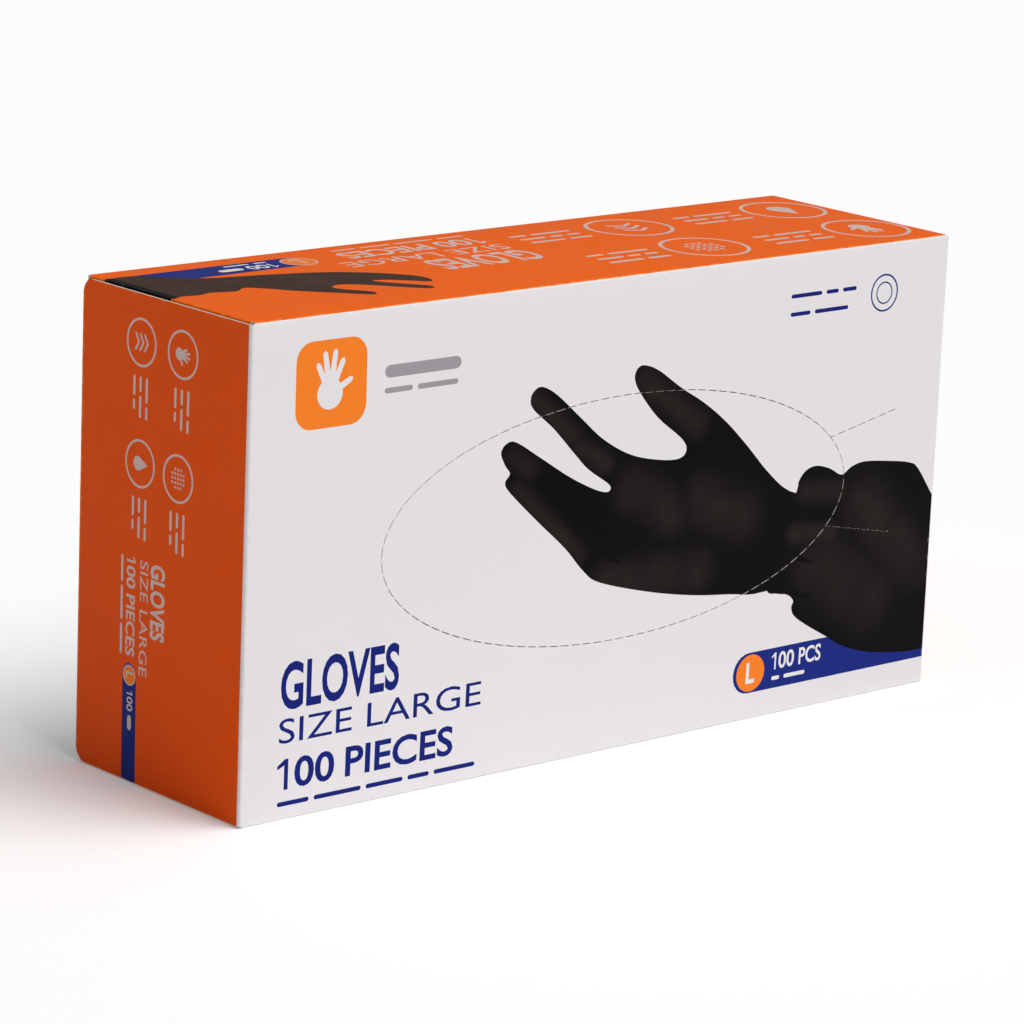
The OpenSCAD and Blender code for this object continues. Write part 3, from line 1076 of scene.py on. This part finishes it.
for side, end in ((-1, "left"), (1, "right")):
    # The outer flap, printed like the top but in a darker orange that is painted shade, folds on
    # the front's edge.
    low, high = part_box(end + "_outer_flap")
    flap_z = (low.z - half_h, high.z - half_h)
    outer_wide = depth - crease_r
    outline = rounded_flap(outer_wide, *flap_z, corner_r)
    lines = grid_lines(1, 1, steps_between(0, outer_wide, bow_step),
                       steps_between(*flap_z, bow_step))
    margin = rectangle(outer_wide - 0.4 * MM, flap_z[0], outer_wide, flap_z[1])
    # The right end has its back edge on the right as one looks at it, so its print is turned
    # over, and reads the same way as the left end's.
    flap_art = end_art if side < 0 else turned_art(end_art, lambda u, v: (depth - u, v))
    spots, sheet = cut_sheet(outline, flap_art + [("white", [margin])], [], lines)

    def stand_outer(u, v, side=side):
        """Places are from the back edge. The middle of the end swells a little."""
        bow = swell * sin(pi * min(1, u / outer_wide)) * max(0, 1 - (v / half_h) ** 2)
        return side * (half_l + bow), half_d - u, v + half_h

    fold_sheet(end + "_outer_flap_board", spots, sheet, "deep_orange", stand_outer,
               end + "_outer", [end + "_outer_flap"])
    path = quarter_turn((side * half_l, -half_d, half_h), (-side, 0, 0), (0, 1, 0))
    crease(end + "_outer_crease", path, (0, 0, 1), *flap_z, "white", end + "_outer",
           "white_print")

    # The inner flap is white, unprinted, and folds on the back's edge.
    low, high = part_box(end + "_inner_flap")
    outer_face = low.x if side < 0 else high.x
    free_y = low.y
    inner_wide = half_d - crease_r - free_y
    inner_z = (under_lip - half_h, half_h - under_lip)
    outline = rounded_flap(inner_wide, *inner_z, corner_r)
    spots, sheet = cut_sheet(outline, [], [], [])
    fold_sheet(end + "_inner_flap_board", spots, sheet, "white",
               lambda u, v: (outer_face, free_y + u, v + half_h),
               end + "_inner", [end + "_inner_flap"])
    path = quarter_turn((outer_face, half_d, half_h), (-side, 0, 0), (0, -1, 0))
    crease(end + "_inner_crease", path, (0, 0, 1), *inner_z, "white", end + "_inner",
           "white_print")

    # Two beads of hot melt hold the outer flap to the inner one.
    glue_low, glue_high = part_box(end + "_end_glue")
    for i, start_y in enumerate((glue_low.y, glue_high.y - bead_w)):
        bead_low = Vector((glue_low.x, start_y, glue_low.z))
        bead_high = Vector((glue_high.x, start_y + bead_w, glue_high.z))
        glue_bead(f"{end}_end_glue_bead_{i + 1}", bead_low, bead_high, 2, 1, end + "_inner",
                  end + "_end_glue")

    # The dust flaps draw in at both sides, so that they clear the flaps that close over them.
    for up, edge in ((1, "top"), (-1, "bottom")):
        node = f"{end}_{edge}_dust_flap"
        body = f"{end}_{edge}_dust"
        low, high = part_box(node)
        outer_face = low.x if side < 0 else high.x
        wide = high.y
        reach_in = high.z - low.z + crease_r - lip_drop
        narrow = wide - reach_in * dust_taper
        corner_z = height if up > 0 else 0
        outline = [(-wide, 0), (wide, 0), (narrow, reach_in), (-narrow, reach_in)]
        spots, sheet = cut_sheet(outline, [], [], [])
        fold_sheet(node + "_board", spots, sheet, "orange",
                   lambda u, v: (outer_face, u, corner_z - up * (lip_drop + v)),
                   body, [node])
        path = [Vector((outer_face + side * out, 0, corner_z - up * down))
                for out, down in lip_line]
        cuff = [("black", half_d - cuff_far * MM, half_d - cuff_near * MM)]
        crease(f"{end}_{edge}_dust_crease", path, (0, 1, 0), -wide, wide, "orange", body,
               "orange_print", cuff if node == "left_top_dust_flap" else ())


# ---- Gloves -------------------------------------------------------------------------------
# A hundred flat gloves of black nitrile film. Each was dipped on a hand-shaped former, so it is
# one closed skin that ends in a rolled bead at the cuff. They lie alternately turned, and the
# front ones have swollen and creased a little behind the window.

film = 0.18 * MM
stacks, per_stack = 10, 10
front_stack_low, front_stack_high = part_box("gloves_01")
back_stack_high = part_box("gloves_10")[1]
last_glove = stacks * per_stack - 1
glove_pitch = (back_stack_high.y - front_stack_low.y - film) / last_glove
glove_long = front_stack_high.x - front_stack_low.x
thumb_side = 12.2 * MM
bead_r = 0.24 * MM


def finger_outline(x, y, angle, reach, root, tip):
    """A finger that narrows from its root to a round tip, in millimetres."""
    turned = Matrix.Rotation(radians(angle), 2)
    arc = [(reach - tip + tip * cos(a), tip * sin(a))
           for a in (-pi / 2 + pi * i / 10 for i in range(11))]
    return [tuple((Vector((x, y)) + turned @ Vector(p)) * MM)
            for p in [(0, -root), *arc, (0, root)]]


# The cuff and palm, then the fingers from the index to the little one, then the thumb.
half_palm = [(0, 46), (40, 45.2), (68, 45.6), (88, 48.4), (110, 49), (132, 48.4), (138, 45)]
palm = [(x * MM, -y * MM) for x, y in half_palm] + [(x * MM, y * MM) for x, y in half_palm[::-1]]
glove_shapes = [palm, finger_outline(128, 36, 1.8, 86, 11.8, 9.6),
                finger_outline(128, 12, 0.7, 104, 11.8, 9.8),
                finger_outline(128, -12, -0.9, 92, 11.8, 9.6),
                finger_outline(128, -36, -2.4, 70, 11.6, 8.8),
                finger_outline(78, 41, 17, 76, 14, 11)]


def glove_pattern(name, spacing):
    """A flat glove: two walls of film joined along the outline, and the bead on its cuff."""
    around = rectangle(-4 * MM, -60 * MM, 240 * MM, 90 * MM)
    lines = [((x, -59 * MM), (x, 89 * MM)) for x in steps_between(0, glove_long, spacing)]
    lines += [((-3 * MM, y), (239 * MM, y)) for y in steps_between(-50 * MM, 80 * MM, spacing)]
    spots, sheet = cut_sheet(around, [], [("glove", loop) for loop in glove_shapes], lines)
    bm = bmesh.new()
    made = {}
    for corners, _, cuts in sheet:
        if cuts:
            for i in corners:
                if i not in made:
                    made[i] = bm.verts.new((spots[i].x, spots[i].y, 0))
            bm.faces.new([made[i] for i in corners])
    raised = bmesh.ops.extrude_face_region(bm, geom=bm.faces[:])
    bmesh.ops.translate(bm, vec=(0, 0, film),
                        verts=[v for v in raised["geom"] if isinstance(v, bmesh.types.BMVert)])
    bead = bmesh.ops.create_cone(bm, cap_ends=True, segments=8, radius1=bead_r, radius2=bead_r,
                                 depth=2 * half_palm[0][1] * MM)["verts"]
    bmesh.ops.rotate(bm, verts=bead, cent=(0, 0, 0), matrix=Matrix.Rotation(pi / 2, 3, "X"))
    bmesh.ops.translate(bm, verts=bead, vec=(bead_r, 0, film / 2))
    long_edges = [e for e in {e for v in bead for e in v.link_edges} if e.calc_length() > 10 * MM]
    bmesh.ops.subdivide_edges(bm, edges=long_edges, cuts=9)
    bmesh.ops.recalc_face_normals(bm, faces=bm.faces)
    for face in bm.faces:
        face.smooth = True
    # The extrusion leaves its walls in no fixed order, and the cloth's creases depend on it.
    bm.verts.index_update()
    count = len(bm.verts)
    for parts in (bm.edges, bm.faces):
        parts.sort(key=lambda part: sum(
            corner * count ** k
            for k, corner in enumerate(sorted(v.index for v in part.verts)[:3])))
    mesh = bpy.data.meshes.new(name)
    bm.to_mesh(mesh)
    bm.free()
    return mesh


def room(x):
    """How freely a glove may swell: fully in the middle, and not at all behind the thumb tab."""
    return max(0, min(1, (tab_low.x - 4 * MM - x) / (26 * MM)))


def lay_glove(bm, pattern, index, swell=0.0):
    """Add one glove to a mesh, in its place in the stack."""
    start = len(bm.verts)
    bm.from_mesh(pattern)
    bm.verts.ensure_lookup_table()
    laid = bm.verts[start:]
    rims = [v.co.copy() for v in laid if v.co.z < film / 4 and any(
        abs(e.verts[0].co.z - e.verts[1].co.z) > film / 2 for e in v.link_edges)]
    rim_tree = kdtree.KDTree(len(rims))
    for i, place in enumerate(rims):
        rim_tree.insert(place, i)
    rim_tree.balance()
    way = -1 if index % 2 else 1
    loose = 1.1 * MM * (index / last_glove) ** 0.5
    shift_x = 0.7 * MM * noise.noise(Vector((index * 7.31, 0.5, 0.5)))
    shift_z = 0.7 * MM * noise.noise(Vector((0.5, index * 5.17, 0.5)))
    for v in laid:
        x, y, through = v.co
        if swell and through > film / 2:
            inside = min(1, rim_tree.find((x, y, 0))[2] / (7 * MM))
            uneven = 0.6 + 0.4 * noise.noise(Vector((x * 90, y * 90, index)))
            swollen = swell * uneven * room(way * (x - glove_long / 2))
            through += (1 - (1 - inside) ** 2) ** 0.5 * swollen
        wave = 0.5 + 0.5 * noise.noise(Vector((x * 20, y * 20, index * 0.12)))
        v.co = (way * (x - glove_long / 2) + shift_x,
                back_stack_high.y - index * glove_pitch - through - loose * wave,
                half_h + way * (y - thumb_side) + shift_z)


cloth_frames = 22


def crease_by_cloth(piece, growth, rise):
    """Let the front wall of a glove grow inside its held outline, so that it buckles.

    The wall may rise by the given distance from where it lay, and can't go back through it.
    """
    mesh = piece.data
    flat = [v.co.copy() for v in mesh.vertices]
    free = {v.index for v in mesh.vertices if v.normal.y < -0.6}
    walls = piece.vertex_groups.new(name="held")
    walls.add([i for i in range(len(flat)) if i not in free], 1, "REPLACE")
    cloth = piece.modifiers.new("cloth", "CLOTH")
    for setting, value in (
            ("vertex_group_mass", "held"), ("quality", 6), ("mass", 0.05),
            ("tension_stiffness", 20), ("compression_stiffness", 20), ("shear_stiffness", 10),
            ("bending_stiffness", 0.01), ("shrink_min", -growth)):
        setattr(cloth.settings, setting, value)
    cloth.settings.effector_weights.gravity = 0
    cloth.collision_settings.use_collision = False
    cloth.point_cache.frame_end = cloth_frames
    for step in range(1, cloth_frames + 1):
        scene.frame_set(step)
    buckled = bpy.data.meshes.new_from_object(
        piece.evaluated_get(bpy.context.evaluated_depsgraph_get()))
    piece.modifiers.clear()
    piece.vertex_groups.clear()
    bm = bmesh.new()
    bm.from_mesh(buckled)
    bm.verts.ensure_lookup_table()
    loose_verts = [bm.verts[i] for i in sorted(free)]
    for v in loose_verts:
        start = flat[v.index]
        v.co.y = min(start.y, max(start.y - rise * room(start.x), v.co.y))
    for _ in range(3):
        bmesh.ops.smooth_vert(bm, verts=loose_verts, factor=0.5, use_axis_x=True,
                              use_axis_y=True, use_axis_z=True)
    bm.to_mesh(mesh)
    bm.free()
    bpy.data.meshes.remove(buckled)
    scene.frame_set(1)


nitrile, tree, shader = new_finish("black_nitrile", Specular_IOR_Level=0.45, Sheen_Weight=0.12,
                                   Sheen_Roughness=0.4)
spot = tree.nodes.new("ShaderNodeTexCoord").outputs["Object"]
tree.links.new(blend_colours(tree, blotches(tree, spot, 60, 3), ink(15, 15, 16), ink(27, 27, 29)),
               shader.inputs["Base Color"])
tree.links.new(between(tree, blotches(tree, spot, 120, 3), 0.3, 0.7, 0.3, 0.45),
               shader.inputs["Roughness"])
stipple = maths(tree, "MULTIPLY", blotches(tree, spot, 1500, 2), 0.5)
ripples = maths(tree, "MULTIPLY", blotches(tree, spot, 240, 3), 1.4)
add_bump(tree, shader, maths(tree, "ADD", stipple, ripples), 0.3, 0.2 * MM)

plain_pattern = glove_pattern("plain_glove", 13 * MM)
fine_pattern = glove_pattern("fine_glove", 2.6 * MM)
swells = {"front_glove": 0.9 * MM, "second_glove": 0.12 * MM}
for stack in range(stacks):
    node = f"gloves_{stack + 1:02d}"
    first = (stacks - 1 - stack) * per_stack
    batches = {node + "_stack": range(first, first + per_stack)}
    if stack == 0:
        # The two gloves that show through the window are finer pieces of their own.
        batches = {node + "_stack": range(first, last_glove - 1),
                   "second_glove": [last_glove - 1], "front_glove": [last_glove]}
    for name, indexes in batches.items():
        pattern = fine_pattern if name in swells else plain_pattern
        bm = bmesh.new()
        for index in indexes:
            lay_glove(bm, pattern, index, swells.get(name, 0.0))
        gloves = new_piece(name, bm, nitrile)
        if name == "front_glove":
            crease_by_cloth(gloves, 0.09, 4 * MM)
        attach(gloves, "carton")
        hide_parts(node)
